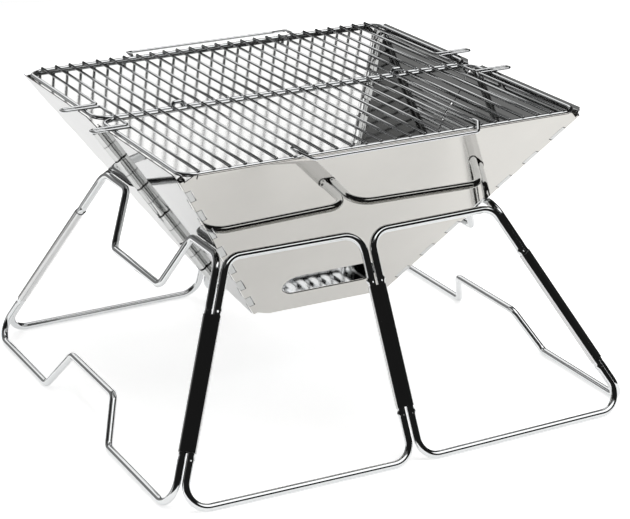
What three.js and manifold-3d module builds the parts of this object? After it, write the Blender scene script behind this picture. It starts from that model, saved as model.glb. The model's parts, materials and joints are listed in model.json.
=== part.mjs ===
// Folding camp grill: a six-panel steel firebox that sits in a ring of six hinged wire loops,
// with two wire grates on top and a charcoal grate and an ash plate inside.
// Millimetres, +Z up, the front of the grill faces -Y, the feet stand on Z = 0.

import * as THREE from 'three';
import { mergeVertices } from 'three/addons/utils/BufferGeometryUtils.js';
import Module from 'manifold-3d';

const wasm = await Module();
wasm.setup();

// ---------------------------------------------------------------- driving dimensions

// Firebox: planes are the middle of the sheet.
const TOP_HALF_X = 200;
const TOP_HALF_Y = 195;
const TOP_Z = 286;
const LOW_HALF_X = 68.5;
const LOW_HALF_Y = 52;
const LOW_Z = 89;
const SHEET = 0.8;
const RIM_Z = TOP_Z - 0.5;
const MIDDLE_LOW_Z = 108;

// Firebox hinges.
const CORNER_BARREL = { radius: 2.6, pin: 1.5, bore: 1.95, offset: 2.8, edge: 1.6, count: 15 };
const MIDDLE_BARREL = { radius: 3.1, pin: 1.8, bore: 2.25, offset: -3.4, edge: 2.0, count: 11 };
const KNUCKLE_GAP = 0.5;
const HEM_HEIGHT = 5;

// Air slot low in the front and back panels.
const SLOT_LENGTH = 104;
const SLOT_HEIGHT = 32;
const SLOT_Z = 122;

// Stand: virtual corner lines where the loop planes meet.
const FOOT_HALF_X = 232;
const FOOT_HALF_Y = 235;
const RING_HALF_X = 140;
const RING_HALF_Y = 141.8;
const RING_Z = 188;
const BOW = 0.02;
const WIRE = 3.6;
const WIRE_SIDES = 8;
const WIRE_FLAT = WIRE * Math.cos(Math.PI / WIRE_SIDES);
const BEND = 18;
const NOTCH_BEND = 9;
const LOW_NOTCH = { mouth: 82, floor: 54, z: 40 };
const HIGH_NOTCH = { mouth: 78, floor: 56, z: 139 };

// Sleeves that hold two neighbouring wires side by side.
const CORNER_PITCH = 8.2;
const MIDDLE_PITCH = 9.0;
const SLEEVE_BORE = 3.85;
const SLEEVE_WALL = 0.45;
const SLEEVE_Z = [46, 145];

// Clearance at the one open joint of the ring and of the firebox, both at the back right corner.
const isOpen = (sx, sy) => sx > 0 && sy > 0;
const OPEN_WIRE_GAP = 3;
const OPEN_EDGE_GAP = 2;

// Cooking grates.
const FRAME_WIRE = 2;
const ROD_WIRE = 1.3;
const FRAME_Z = 284.5;
const HEX_FLAT = Math.cos(Math.PI / 6);
const ROD_Z = FRAME_Z + (FRAME_WIRE + ROD_WIRE) * HEX_FLAT - 0.2;
const GRATE_HALF_X = 193;
const GRATE_OUT_Y = 190;
const GRATE_IN_Y = 4;
const GRATE_BEND = 14;
const ROD_COUNT = 26;
const ROD_PITCH = 2 * GRATE_HALF_X / (ROD_COUNT + 1);
const HUMP_X = GRATE_HALF_X - 5.5 * ROD_PITCH;
const EAR_Y = 38;
const EAR_HALF = 4;
const EAR_REACH = 215;
const HANDLE_HALF_X = 88;
const HANDLE_Y = 207;
const HANDLE_WIRE = 1.6;

// Plates inside the firebox.
const CHARCOAL_Z = 142;
const ASH_Z = 100;
const PLATE = 1;

// ---------------------------------------------------------------- materials

const steel = (hex, roughness) =>
  new THREE.MeshStandardMaterial({ color: hex, metalness: 1, roughness });
const mirrorSheet = steel(0xd6d4cf, 0.12);
const chromeWire = steel(0xc9cbcd, 0.1);
const pinSteel = steel(0x9c9a96, 0.3);
const plateSteel = steel(0xb4b2ad, 0.32);

// ---------------------------------------------------------------- solid helpers

const V = (x, y, z) => new THREE.Vector3(x, y, z);
const lerp = (a, b, t) => a.clone().lerp(b, t);
const dirFrom = (a, b) => b.clone().sub(a).normalize();

function solidOf(geometry) {
  const bare = new THREE.BufferGeometry();
  bare.setAttribute('position', geometry.getAttribute('position'));
  if (geometry.index) bare.setIndex(geometry.index);
  const g = mergeVertices(bare, 1e-4);
  const mesh = new wasm.Mesh({
    numProp: 3,
    vertProperties: new Float32Array(g.getAttribute('position').array),
    triVerts: new Uint32Array(g.index.array),
  });
  return new wasm.Manifold(mesh);
}

function meshOf(name, solid, material) {
  const m = solid.getMesh();
  const g = new THREE.BufferGeometry();
  g.setAttribute('position', new THREE.BufferAttribute(new Float32Array(m.vertProperties), 3));
  g.setIndex(new THREE.BufferAttribute(new Uint32Array(m.triVerts), 1));
  const flat = g.toNonIndexed();
  flat.computeVertexNormals();
  const mesh = new THREE.Mesh(flat, material);
  mesh.name = name;
  return mesh;
}

const unite = (solids) => wasm.Manifold.union(solids);

// A prism of a 2D outline (with holes), standing from w0 to w1 along the frame's third axis.
function prism(frame, outline, w0, w1, holes = []) {
  const shape = new THREE.Shape(outline.map((p) => new THREE.Vector2(p[0], p[1])));
  for (const hole of holes) shape.holes.push(new THREE.Path(hole.map((p) => new THREE.Vector2(p[0], p[1]))));
  const g = new THREE.ExtrudeGeometry(shape, { depth: w1 - w0, bevelEnabled: false, steps: 1 });
  g.translate(0, 0, w0);
  g.applyMatrix4(frame);
  return solidOf(g);
}

// A frame whose axes are u, v and u x v, at the given origin.
function frameAt(origin, u, v) {
  const w = u.clone().cross(v).normalize();
  const vv = w.clone().cross(u).normalize();
  return new THREE.Matrix4().makeBasis(u, vv, w).setPosition(origin);
}

const circle = (r, sides, phase = 0) => Array.from({ length: sides }, (_, i) => {
  const a = phase + 2 * Math.PI * i / sides;
  return [r * Math.cos(a), r * Math.sin(a)];
});

function stadium(halfLength, r, perEnd, cx = 0, cy = 0) {
  const points = [];
  for (const side of [1, -1]) {
    for (let i = 0; i <= perEnd; i++) {
      const a = Math.PI * (i / perEnd - 0.5) + (side > 0 ? 0 : Math.PI);
      points.push([cx + side * halfLength + r * Math.cos(a), cy + r * Math.sin(a)]);
    }
  }
  return points;
}

// Corner points with bend radii become a path with an arc at each bend.
function bentPath(corners, closed, segments = 4) {
  const path = [];
  const n = corners.length;
  corners.forEach(([p, r], i) => {
    if (!r || (!closed && (i === 0 || i === n - 1))) {
      path.push(p.clone());
      return;
    }
    const toPrev = dirFrom(p, corners[(i + n - 1) % n][0]);
    const toNext = dirFrom(p, corners[(i + 1) % n][0]);
    const half = toPrev.angleTo(toNext) / 2;
    const centre = toPrev.clone().add(toNext).normalize().multiplyScalar(r / Math.sin(half)).add(p);
    const reach = r / Math.tan(half);
    const a = p.clone().addScaledVector(toPrev, reach).sub(centre);
    const b = p.clone().addScaledVector(toNext, reach).sub(centre);
    const turn = a.angleTo(b);
    const steps = Math.max(2, Math.round(segments * turn / (Math.PI / 2)));
    for (let k = 0; k <= steps; k++) {
      const s = k / steps;
      const w0 = Math.sin((1 - s) * turn) / Math.sin(turn);
      const w1 = Math.sin(s * turn) / Math.sin(turn);
      path.push(centre.clone().addScaledVector(a, w0).addScaledVector(b, w1));
    }
  });
  return path;
}

// A round wire along a path, mitred at each point so that straight runs are true prisms.
// 'flat' is a direction that one facet of the first run faces.
function wire(path, radius, sides, flat, closed) {
  const n = path.length;
  const runs = path.map((p, i) => dirFrom(p, path[(i + 1) % n]));
  const before = (i) => runs[(i + n - 1) % n];
  const start = runs[0];
  const up = flat.clone().addScaledVector(start, -flat.dot(start)).normalize();
  const side = start.clone().cross(up);
  const rings = [];
  let ring = circle(radius, sides, Math.PI / sides).map(([a, b]) =>
    path[0].clone().addScaledVector(up, a).addScaledVector(side, b));
  const toPlane = (points, along, at, normal) => points.map((q) =>
    q.clone().addScaledVector(along, at.clone().sub(q).dot(normal) / along.dot(normal)));
  if (closed) ring = toPlane(ring, start, path[0], before(0).clone().add(start).normalize());
  rings.push(ring);
  for (let i = 1; i < n; i++) {
    const last = !closed && i === n - 1;
    const normal = last ? runs[i - 1] : runs[i - 1].clone().add(runs[i]).normalize();
    rings.push(toPlane(rings[i - 1], runs[i - 1], path[i], normal));
  }
  const position = rings.flat().flatMap((q) => [q.x, q.y, q.z]);
  const index = [];
  const joins = closed ? n : n - 1;
  for (let i = 0; i < joins; i++) {
    for (let k = 0; k < sides; k++) {
      const a = i * sides + k;
      const b = i * sides + (k + 1) % sides;
      const c = ((i + 1) % n) * sides + k;
      const d = ((i + 1) % n) * sides + (k + 1) % sides;
      index.push(a, b, d, a, d, c);
    }
  }
  if (!closed) {
    for (let k = 1; k < sides - 1; k++) {
      index.push(0, k + 1, k);
      const e = (n - 1) * sides;
      index.push(e, e + k, e + k + 1);
    }
  }
  const g = new THREE.BufferGeometry();
  g.setAttribute('position', new THREE.Float32BufferAttribute(position, 3));
  g.setIndex(index);
  return solidOf(g);
}

// ---------------------------------------------------------------- firebox geometry

const SLOPE_X = (TOP_HALF_X - LOW_HALF_X) / (TOP_Z - LOW_Z);
const SLOPE_Y = (TOP_HALF_Y - LOW_HALF_Y) / (TOP_Z - LOW_Z);
const wallX = (z) => TOP_HALF_X - SLOPE_X * (TOP_Z - z);
const wallY = (z) => TOP_HALF_Y - SLOPE_Y * (TOP_Z - z);
const endPoint = (sx, y, z) => V(sx * wallX(z), y, z);
const longPoint = (sy, x, z) => V(x, sy * wallY(z), z);
const endNormal = (sx) => V(sx, 0, -SLOPE_X).normalize();
const longNormal = (sy) => V(0, sy, -SLOPE_Y).normalize();

// Corner hinge axis: both sheet planes moved inwards by the barrel offset.
function cornerAxis(sx, sy) {
  const at = (z) => {
    const x = wallX(z) - CORNER_BARREL.offset * Math.hypot(1, SLOPE_X);
    const y = wallY(z) - CORNER_BARREL.offset * Math.hypot(1, SLOPE_Y);
    return V(sx * x, sy * y, z);
  };
  return [at(94), at(282)];
}

// Middle hinge axis of an end: outside the sheet, on Y = 0.
function middleAxis(sx) {
  const at = (z) => V(sx * (wallX(z) - MIDDLE_BARREL.offset * Math.hypot(1, SLOPE_X)), 0, z);
  return [at(111), at(275)];
}

// Convex outline in a panel's own plane, cut out of a big square by straight cuts.
function cutOutline(frame, cuts, inside) {
  const inverse = frame.clone().invert();
  const local = (p) => p.clone().applyMatrix4(inverse);
  const keep = local(inside);
  let outline = [[-600, -600], [600, -600], [600, 600], [-600, 600]];
  for (const [p, q] of cuts) {
    const a = local(p);
    const b = local(q);
    const side = (x, y) => (b.x - a.x) * (y - a.y) - (b.y - a.y) * (x - a.x);
    const sign = Math.sign(side(keep.x, keep.y));
    const next = [];
    outline.forEach((c, i) => {
      const d = outline[(i + 1) % outline.length];
      const sc = sign * side(c[0], c[1]);
      const sd = sign * side(d[0], d[1]);
      if (sc >= 0) next.push(c);
      if (sc * sd < 0) {
        const t = sc / (sc - sd);
        next.push([c[0] + t * (d[0] - c[0]), c[1] + t * (d[1] - c[1])]);
      }
    });
    outline = next;
  }
  return outline;
}

// What one panel needs at one hinge: the cut along its edge and its own knuckles.
// 'out' is the panel's outward normal and 'into' points from the hinge into the panel.
function hingeEdge(axis, barrel, out, inside, parity) {
  const along = dirFrom(axis[0], axis[1]);
  const into = inside.clone().sub(axis[0]);
  into.addScaledVector(along, -into.dot(along)).addScaledVector(out, -into.dot(out)).normalize();
  const shift = (p) => p.clone().addScaledVector(out, barrel.offset).addScaledVector(into, barrel.edge);
  const cut = [shift(axis[0]), shift(axis[1])];
  const length = axis[0].distanceTo(axis[1]);
  const pitch = length / barrel.count;
  const sign = Math.sign(barrel.offset);
  const skin = 0.1;
  const face = barrel.offset + sign * (SHEET / 2 - skin);
  const neck = face - sign * (SHEET - 2 * skin);
  const round = circle(barrel.radius, 8, Math.PI / 8).filter(([s, h]) => s < 0 || h * sign < 0);
  const rim = sign > 0
    ? [...round, [barrel.edge + 0.8, neck], [barrel.edge + 0.8, face], [0, face]]
    : [[0, face], [barrel.edge + 0.8, face], [barrel.edge + 0.8, neck], ...round];
  rim.sort((a, b) => Math.atan2(a[1], a[0]) - Math.atan2(b[1], b[0]));
  const bore = circle(barrel.bore, 6).reverse();
  const depth = pitch - KNUCKLE_GAP;
  const knuckles = [];
  for (let k = parity; k < barrel.count; k += 2) {
    const base = axis[0].clone().addScaledVector(along, k * pitch + KNUCKLE_GAP / 2);
    const frame = new THREE.Matrix4().makeBasis(into, out, along).setPosition(base);
    if (into.clone().cross(out).dot(along) < 0) {
      const top = base.clone().addScaledVector(along, depth);
      frame.makeBasis(into, out, along.clone().negate()).setPosition(top);
    }
    knuckles.push(prism(frame, rim, 0, depth, [bore]));
  }
  return { cut, knuckles };
}

const slotOutline = (frame, sy) => {
  const centre = longPoint(sy, 0, SLOT_Z).applyMatrix4(frame.clone().invert());
  return stadium((SLOT_LENGTH - SLOT_HEIGHT) / 2, SLOT_HEIGHT / 2, 6, centre.x, centre.y).reverse();
};

// Front (sy = -1) or back (sy = +1) panel.
function longPanel(name, sy) {
  const out = longNormal(sy);
  const inside = longPoint(sy, 0, 200);
  const u = V(-sy, 0, 0);
  const frame = frameAt(inside, u, out.clone().cross(u));
  const hinges = [-1, 1].map((sx) => hingeEdge(cornerAxis(sx, sy), CORNER_BARREL, out, inside, 0));
  const cuts = hinges.map((h) => h.cut);
  cuts.push([longPoint(sy, -50, RIM_Z), longPoint(sy, 50, RIM_Z)]);
  cuts.push([longPoint(sy, -50, LOW_Z), longPoint(sy, 50, LOW_Z)]);
  for (const sx of [-1, 1]) {
    cuts.push([longPoint(sy, sx * 184, RIM_Z), longPoint(sy, sx * 193, RIM_Z - 8)]);
    cuts.push([longPoint(sy, sx * 54, LOW_Z), longPoint(sy, sx * 66, LOW_Z + 4)]);
  }
  const outline = cutOutline(frame, cuts, inside);
  const sheet = prism(frame, outline, -SHEET / 2, SHEET / 2, [slotOutline(frame, sy)]);
  const top = longPoint(sy, 0, RIM_Z).applyMatrix4(frame.clone().invert()).y;
  const hem = [[-181, top - HEM_HEIGHT], [181, top - HEM_HEIGHT], [181, top], [-181, top]];
  const hemSolid = prism(frame, hem, SHEET / 2 - 0.2, SHEET * 1.5);
  return meshOf(name, unite([sheet, hemSolid, ...hinges.flatMap((h) => h.knuckles)]), mirrorSheet);
}

// One of the four half panels of the two ends.
function halfPanel(name, sx, sy) {
  const out = endNormal(sx);
  const inside = endPoint(sx, sy * 70, 200);
  const v = V(0, sx, 0);
  const frame = frameAt(inside, v, out.clone().cross(v));
  const barrel = { ...CORNER_BARREL };
  if (isOpen(sx, sy)) barrel.edge += OPEN_EDGE_GAP;
  const corner = hingeEdge(cornerAxis(sx, sy), barrel, out, inside, 1);
  const middle = hingeEdge(middleAxis(sx), MIDDLE_BARREL, out, inside, sy < 0 ? 0 : 1);
  const cuts = [corner.cut, middle.cut];
  cuts.push([endPoint(sx, sy * 60, RIM_Z), endPoint(sx, sy * 150, RIM_Z)]);
  cuts.push([endPoint(sx, sy * LOW_HALF_Y, LOW_Z), endPoint(sx, 0, MIDDLE_LOW_Z)]);
  cuts.push([endPoint(sx, sy * 14, RIM_Z), endPoint(sx, 0, RIM_Z - 10)]);
  cuts.push([endPoint(sx, sy * 184, RIM_Z), endPoint(sx, sy * 190, RIM_Z - 6)]);
  const sheet = prism(frame, cutOutline(frame, cuts, inside), -SHEET / 2, SHEET / 2);
  const knuckles = isOpen(sx, sy) ? middle.knuckles : [...corner.knuckles, ...middle.knuckles];
  return meshOf(name, unite([sheet, ...knuckles]), mirrorSheet);
}

function hingePin(name, axis, barrel) {
  const along = dirFrom(axis[0], axis[1]);
  const a = axis[0].clone().addScaledVector(along, -0.8);
  const b = axis[1].clone().addScaledVector(along, 0.8);
  return meshOf(name, wire([a, b], barrel.pin, 8, V(1, 0, 0), false), pinSteel);
}

// ---------------------------------------------------------------- stand geometry

// Virtual lines where neighbouring loop planes meet, each from foot to ring height.
const footCorner = (sx, sy) => V(sx * FOOT_HALF_X, sy * FOOT_HALF_Y, WIRE_FLAT);
const ringCorner = (sx, sy) => V(sx * RING_HALF_X, sy * RING_HALF_Y, RING_Z);
const cornerLine = (sx, sy) => [footCorner(sx, sy), ringCorner(sx, sy)];
const middleLine = (sy) => [
  V(0, sy * (FOOT_HALF_Y + BOW * FOOT_HALF_X), WIRE_FLAT),
  V(0, sy * (RING_HALF_Y + BOW * RING_HALF_X), RING_Z),
];

// Direction in a loop's plane, square to the line, pointing to the other side of the loop.
function inPlane(line, other) {
  const along = dirFrom(line[0], line[1]);
  const d = other[0].clone().sub(line[0]);
  return d.addScaledVector(along, -d.dot(along)).normalize();
}

// A loop's wire runs beside the virtual line, so that two neighbours lie one pitch apart.
function sideWire(line, own, next, pitch, clearance = 0) {
  const a = inPlane(line, own);
  const b = inPlane(line, next);
  const set = pitch / (2 * Math.sin(a.angleTo(b) / 2)) + clearance;
  return line.map((p) => p.clone().addScaledVector(a, set));
}

const CORNERS = [-1, 1].flatMap((sx) => [-1, 1].map((sy) => [sx, sy]));
const endLine = (sx, sy) => sideWire(cornerLine(sx, sy), cornerLine(sx, -sy), middleLine(sy), CORNER_PITCH);
const longLine = (sx, sy) => sideWire(cornerLine(sx, sy), middleLine(sy), cornerLine(sx, -sy),
  CORNER_PITCH, isOpen(sx, sy) ? OPEN_WIRE_GAP : 0);
const centreLine = (sx, sy) => sideWire(middleLine(sy), cornerLine(sx, sy), cornerLine(-sx, sy), MIDDLE_PITCH);

// Point at height z on the line through two points.
const atHeight = (line, z) => lerp(line[0], line[1], (z - line[0].z) / (line[1].z - line[0].z));

// Left (sx = -1) or right loop: a wide loop with a notch in its lower and upper wires.
function endLoop(name, sx) {
  const near = endLine(sx, -1);
  const far = endLine(sx, 1);
  const on = (y, z) => V(atHeight(near, z).x, y, z);
  const low = WIRE_FLAT;
  const corners = [
    [on(-(LOW_NOTCH.mouth + FOOT_HALF_Y) / 2, low), 0],
    [on(-LOW_NOTCH.mouth, low), NOTCH_BEND],
    [on(-LOW_NOTCH.floor, LOW_NOTCH.z), NOTCH_BEND],
    [on(LOW_NOTCH.floor, LOW_NOTCH.z), NOTCH_BEND],
    [on(LOW_NOTCH.mouth, low), NOTCH_BEND],
    [atHeight(far, low), BEND],
    [atHeight(far, RING_Z), BEND],
    [on(HIGH_NOTCH.mouth, RING_Z), NOTCH_BEND],
    [on(HIGH_NOTCH.floor, HIGH_NOTCH.z), NOTCH_BEND],
    [on(-HIGH_NOTCH.floor, HIGH_NOTCH.z), NOTCH_BEND],
    [on(-HIGH_NOTCH.mouth, RING_Z), NOTCH_BEND],
    [atHeight(near, RING_Z), BEND],
    [atHeight(near, low), BEND],
  ];
  return loopMesh(name, corners);
}

// One of the four narrow loops of the front and back.
function longLoop(name, sx, sy) {
  const side = longLine(sx, sy);
  const middle = centreLine(sx, sy);
  const corners = [
    [lerp(atHeight(side, WIRE_FLAT), atHeight(middle, WIRE_FLAT), 0.5), 0],
    [atHeight(middle, WIRE_FLAT), BEND],
    [atHeight(middle, RING_Z), BEND],
    [atHeight(side, RING_Z), BEND],
    [atHeight(side, WIRE_FLAT), BEND],
  ];
  return loopMesh(name, corners);
}

// The path starts on the straight lower wire, where one facet lies on the ground.
function loopMesh(name, corners) {
  return meshOf(name, wire(bentPath(corners, true), WIRE, WIRE_SIDES, V(0, 0, -1), true), chromeWire);
}

// A flat sleeve around two neighbouring wires.
function sleeve(name, lineA, lineB, pitch) {
  const low = lerp(atHeight(lineA, SLEEVE_Z[0]), atHeight(lineB, SLEEVE_Z[0]), 0.5);
  const high = lerp(atHeight(lineA, SLEEVE_Z[1]), atHeight(lineB, SLEEVE_Z[1]), 0.5);
  const along = dirFrom(low, high);
  const across = atHeight(lineB, 100).sub(atHeight(lineA, 100));
  across.addScaledVector(along, -across.dot(along)).normalize();
  const frame = new THREE.Matrix4().makeBasis(across, along.clone().cross(across), along);
  frame.setPosition(low);
  const outer = stadium(pitch / 2, SLEEVE_BORE + SLEEVE_WALL, 6);
  const inner = stadium(pitch / 2, SLEEVE_BORE, 6).reverse();
  return meshOf(name, prism(frame, outer, 0, low.distanceTo(high), [inner]), mirrorSheet);
}

// The sleeve at the open joint of the ring: it holds the narrow loop's wire only.
function openSleeve(name, held) {
  const low = atHeight(held, SLEEVE_Z[0]);
  const high = atHeight(held, SLEEVE_Z[1]);
  const along = dirFrom(low, high);
  const across = V(1, 0, 0).addScaledVector(along, -along.x).normalize();
  const frame = new THREE.Matrix4().makeBasis(across, along.clone().cross(across), along);
  frame.setPosition(low);
  const outer = circle(SLEEVE_BORE + SLEEVE_WALL, 12);
  const inner = circle(SLEEVE_BORE, 12).reverse();
  return meshOf(name, prism(frame, outer, 0, low.distanceTo(high), [inner]), mirrorSheet);
}

// ---------------------------------------------------------------- grates

// One half grate: a bent frame, straight rods across it and an ear at each end.
function grate(name, sy, bumps) {
  const out = sy * GRATE_OUT_Y;
  const inner = sy * GRATE_IN_Y;
  const z = FRAME_Z;
  const hump = (x0) => [-6, -3, 3, 6].map((dx, i) => [V(x0 + dx, inner, z + (i % 3 ? 5 : 0)), 0]);
  const corners = [
    [V(-GRATE_HALF_X, out, z), GRATE_BEND],
    [V(GRATE_HALF_X, out, z), GRATE_BEND],
    [V(GRATE_HALF_X, inner, z), GRATE_BEND],
    ...bumps.flatMap((x0) => hump(x0).reverse()),
    [V(-GRATE_HALF_X, inner, z), GRATE_BEND],
  ];
  const path = bentPath(corners, true, 3);
  const parts = [wire(path, FRAME_WIRE, 6, V(0, 0, 1), true)];
  const outEnd = out + sy * 1.6;
  const inEnd = inner - sy * 1.6;
  for (let i = 1; i <= ROD_COUNT; i++) {
    const x = -GRATE_HALF_X + i * ROD_PITCH;
    const from = V(x, outEnd, ROD_Z);
    const to = V(x, inEnd, ROD_Z);
    if (i > 1 && i < ROD_COUNT) {
      parts.push(wire([from, to], ROD_WIRE, 6, V(0, 0, 1), false));
      continue;
    }
    const sx = Math.sign(x);
    const ear = [
      [from, 0],
      [V(x, sy * (EAR_Y + EAR_HALF), ROD_Z), 2.5],
      [V(sx * EAR_REACH, sy * (EAR_Y + EAR_HALF), ROD_Z), EAR_HALF - 0.2],
      [V(sx * EAR_REACH, sy * (EAR_Y - EAR_HALF), ROD_Z), EAR_HALF - 0.2],
      [V(x, sy * (EAR_Y - EAR_HALF), ROD_Z), 2.5],
      [to, 0],
    ];
    parts.push(wire(bentPath(ear, false, 3), ROD_WIRE, 6, V(0, 0, 1), false));
  }
  return meshOf(name, unite(parts), chromeWire);
}

// Long low handle on a grate's outer edge, standing just off its frame.
function grateHandle(name, sy) {
  const z = ROD_Z + ROD_WIRE + HANDLE_WIRE + 0.3;
  const side = (sx) => [
    [V(sx * HANDLE_HALF_X, sy * (GRATE_OUT_Y - 10), z), 0],
    [V(sx * HANDLE_HALF_X, sy * (GRATE_OUT_Y + 3), z), 4],
    [V(sx * (HANDLE_HALF_X - 8), sy * HANDLE_Y, z - 4), 5],
  ];
  const corners = [...side(-1), ...side(1).reverse()];
  return meshOf(name, wire(bentPath(corners, false, 3), HANDLE_WIRE, 6, V(0, 0, 1), false), chromeWire);
}

// ---------------------------------------------------------------- plates

// Rectangle with cut corners, sized to rest between the walls at height z.
function plateOutline(z, cut) {
  const gap = 0.6 + SHEET / 2;
  const x = wallX(z) - gap * Math.hypot(1, SLOPE_X);
  const y = wallY(z) - gap * Math.hypot(1, SLOPE_Y);
  return [
    [x, -y + cut], [x, y - cut], [x - cut, y], [-x + cut, y],
    [-x, y - cut], [-x, -y + cut], [-x + cut, -y], [x - cut, -y],
  ];
}

function charcoalGrate() {
  const holes = [];
  for (let i = -6; i <= 6; i++) {
    for (const cy of [-66, -21, 21, 66]) {
      holes.push(stadium(13, 4.5, 3, cy, 14 * i).map(([a, b]) => [b, a]));
    }
  }
  const frame = new THREE.Matrix4().makeTranslation(0, 0, CHARCOAL_Z);
  return meshOf('charcoal_grate', prism(frame, plateOutline(CHARCOAL_Z, 12), 0, PLATE, holes), plateSteel);
}

function ashPlate() {
  const frame = new THREE.Matrix4().makeTranslation(0, 0, ASH_Z);
  const outline = plateOutline(ASH_Z, 12);
  const pan = outline.map(([x, y]) => [x - Math.sign(x) * PLATE, y - Math.sign(y) * PLATE]);
  const block = prism(frame, outline, 0, 5);
  return meshOf('ash_plate', block.subtract(prism(frame, pan, PLATE, 6)), plateSteel);
}

// ---------------------------------------------------------------- assembly

// Hinge lines by name, for the joint axes.
export const hingeLines = {
  frontLeftCorner: cornerAxis(-1, -1),
  frontRightCorner: cornerAxis(1, -1),
  backLeftCorner: cornerAxis(-1, 1),
  backRightCorner: cornerAxis(1, 1),
  leftMiddle: middleAxis(-1),
  rightMiddle: middleAxis(1),
};
for (const [sx, sy] of CORNERS) {
  const key = (sy < 0 ? 'front' : 'back') + (sx < 0 ? 'Left' : 'Right');
  hingeLines[key + 'EndWire'] = endLine(sx, sy);
  hingeLines[key + 'LongWire'] = longLine(sx, sy);
  hingeLines[key + 'CentreWire'] = centreLine(sx, sy);
}

const grill = new THREE.Group();
grill.name = 'folding_camp_grill';

grill.add(endLoop('stand_loop_left', -1));
grill.add(endLoop('stand_loop_right', 1));
for (const [sx, sy] of CORNERS) {
  const place = (sy < 0 ? 'front' : 'back') + (sx < 0 ? '_left' : '_right');
  grill.add(longLoop('stand_loop_' + place, sx, sy));
  if (isOpen(sx, sy)) grill.add(openSleeve('sleeve_' + place, longLine(sx, sy)));
  else grill.add(sleeve('sleeve_' + place, endLine(sx, sy), longLine(sx, sy), CORNER_PITCH));
  grill.add(hingePin('hinge_pin_' + place, cornerAxis(sx, sy), CORNER_BARREL));
}
for (const sy of [-1, 1]) {
  const place = sy < 0 ? 'front' : 'back';
  grill.add(sleeve('sleeve_' + place + '_middle', centreLine(-1, sy), centreLine(1, sy), MIDDLE_PITCH));
  grill.add(longPanel('panel_' + place, sy));
  grill.add(grate('grate_' + place, sy, sy > 0 ? [HUMP_X, -HUMP_X] : []));
  grill.add(grateHandle('grate_handle_' + place, sy));
}
for (const [sx, sy] of CORNERS) {
  const place = (sx < 0 ? 'left' : 'right') + (sy < 0 ? '_front' : '_back');
  grill.add(halfPanel('panel_' + place, sx, sy));
}
grill.add(hingePin('hinge_pin_left_middle', middleAxis(-1), MIDDLE_BARREL));
grill.add(hingePin('hinge_pin_right_middle', middleAxis(1), MIDDLE_BARREL));
grill.add(charcoalGrate());
grill.add(ashPlate());

export default grill;
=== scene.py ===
import json
import math

import bpy
from mathutils import Matrix, Vector
from mathutils.geometry import tessellate_polygon

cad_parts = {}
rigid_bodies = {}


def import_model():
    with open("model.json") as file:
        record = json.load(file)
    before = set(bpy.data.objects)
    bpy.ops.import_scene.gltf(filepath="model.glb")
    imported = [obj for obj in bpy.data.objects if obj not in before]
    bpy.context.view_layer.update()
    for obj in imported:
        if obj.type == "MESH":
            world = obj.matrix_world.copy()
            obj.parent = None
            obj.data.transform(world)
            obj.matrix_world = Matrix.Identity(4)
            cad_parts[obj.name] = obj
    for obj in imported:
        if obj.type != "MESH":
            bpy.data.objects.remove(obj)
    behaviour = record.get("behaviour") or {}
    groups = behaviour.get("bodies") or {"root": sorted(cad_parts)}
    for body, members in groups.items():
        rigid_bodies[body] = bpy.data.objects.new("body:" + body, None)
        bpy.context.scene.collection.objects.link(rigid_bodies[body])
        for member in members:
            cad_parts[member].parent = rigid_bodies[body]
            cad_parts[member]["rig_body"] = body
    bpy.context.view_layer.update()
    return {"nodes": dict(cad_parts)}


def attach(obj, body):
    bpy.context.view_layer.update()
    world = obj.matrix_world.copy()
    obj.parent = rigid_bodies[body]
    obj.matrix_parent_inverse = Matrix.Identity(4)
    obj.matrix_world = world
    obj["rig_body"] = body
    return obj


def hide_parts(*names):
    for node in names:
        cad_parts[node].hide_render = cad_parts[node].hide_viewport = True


# Folding camp grill: polished sheet firebox in a ring of chromed wire loops.
# Lengths are millimetres unless a line says otherwise. Z is up, and the front of the grill faces -Y.

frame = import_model()
MM = 0.001

# ------------------------------------------------------------- firebox sizes
TOP_HALF_X, TOP_HALF_Y, TOP_Z = 200.0, 195.0, 286.0
LOW_HALF_X, LOW_HALF_Y, LOW_Z = 68.5, 52.0, 89.0
RIM_Z = 285.5
MIDDLE_LOW_Z = 108.0
SHEET = 0.8
# A hinge: the axis lies "offset" inside its panels, and a knuckle goes round it to "end" degrees. Its walls are
# (degrees round the axis from its own panel, distance from the axis), and without walls it is round. "gaps" are
# the two kinds of gap that take turns between knuckles, "notch" the room for the neighbour's knuckles.
CORNER_HINGE = {"offset": 2.8, "walls": ((0, 2.8), (71, 2.8), (161, 2.4), (251, 2.1)), "end": 322,
                "count": 15, "notch": 3.4, "gaps": (0.7, 0.7), "pin": 1.5, "z": (94.0, 282.0)}
MIDDLE_HINGE = {"offset": -3.4, "walls": (), "end": 316,
                "count": 11, "notch": 2.5, "gaps": (0.6, 2.0), "pin": 2.7, "z": (111.0, 275.0)}
WALL_BLEND = 14                                  # power that rounds the bends between a knuckle's walls
ROLL_STEPS = 46                                  # steps round a round knuckle
BEND_STEPS = (-16, -10, -7, -5, -3, -1, 1, 3, 5, 7, 10, 16)     # degrees either side of a folded knuckle's bend
WALL_FROM, WALL_STEP, WALL_SPARE = 12, 24, 8     # degrees of the steps along a folded knuckle's walls
SMALL_TURN = 0.01
TAB_ROOT = 1.1
PIN_OUT, PIN_SIDES = 0.9, 16
HEM_HALF_X, HEM_DROP, HEM_RADIUS, HEM_STEPS = 181.0, 5.0, 0.5, 12
SLOT_LENGTH, SLOT_HEIGHT, SLOT_Z, SLOT_SIDES = 104.0, 32.0, 122.0, 16
SLOT_LIP, LIP_TURN, LIP_STEPS = 1.6, 80, 6
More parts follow.
